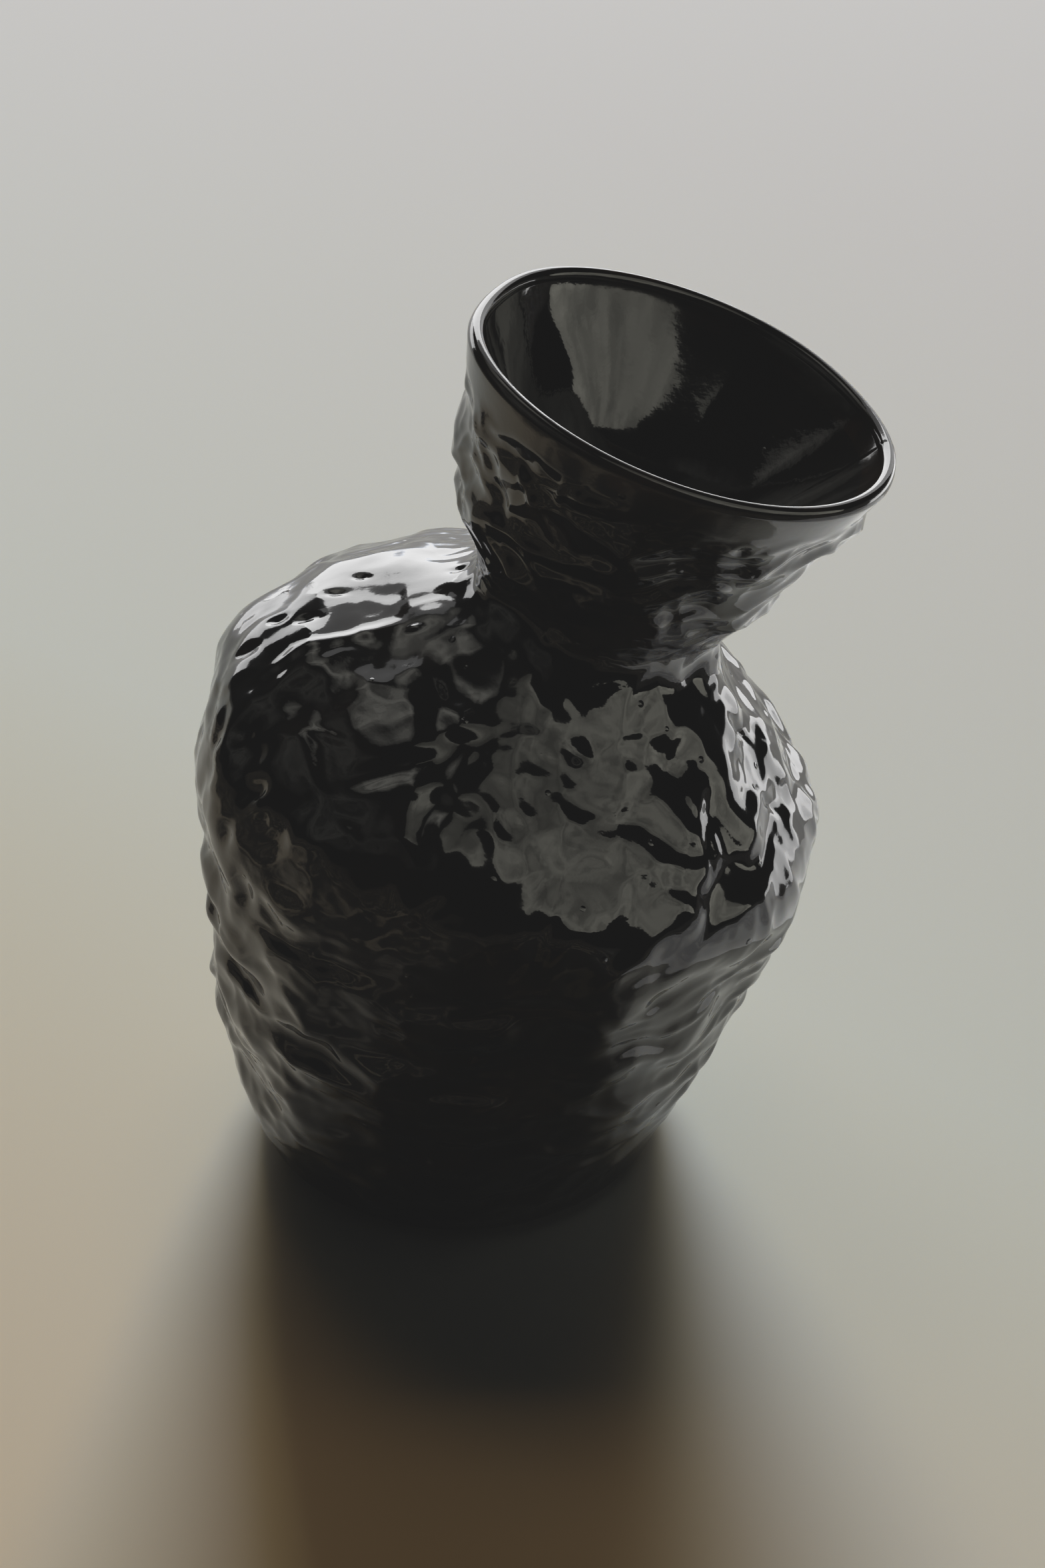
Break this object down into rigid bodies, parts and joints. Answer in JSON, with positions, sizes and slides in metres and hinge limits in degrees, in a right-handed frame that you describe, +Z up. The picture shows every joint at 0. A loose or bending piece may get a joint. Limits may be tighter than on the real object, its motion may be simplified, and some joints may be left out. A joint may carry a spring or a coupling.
{
  "type": "leaning clay pot",
  "caption": "Leaning black-glazed clay pot with a lumpy body, a narrow waist and a flared, tilted neck with a rounded lip.",
  "frame": {"origin": "centre of the flat foot that the pot stands on", "axes": "+Z up, +X the way the neck leans, -Z out of the foot"},
  "size_m": [0.1788, 0.1697, 0.2529],
  "materials": {
    "bare_clay": "matt, unglazed, dark fired clay",
    "black_glaze": "smooth high-gloss black glaze",
    "black_glaze_edge": "high-gloss black glaze that breaks to warm brown on the lip",
    "black_glaze_relief": "high-gloss black glaze over a lumpy coat, with pinholes and pimples"
  },
  "bodies": {
    "root": {"base_slab": "bare_clay", "lower_wall": "black_glaze", "shoulder_dome": "black_glaze", "neck_cone": "black_glaze", "lip_coil": "black_glaze_edge", "relief_coat_body": "black_glaze_relief", "relief_coat_neck": "black_glaze_relief"}
  },
  "joints": []
}
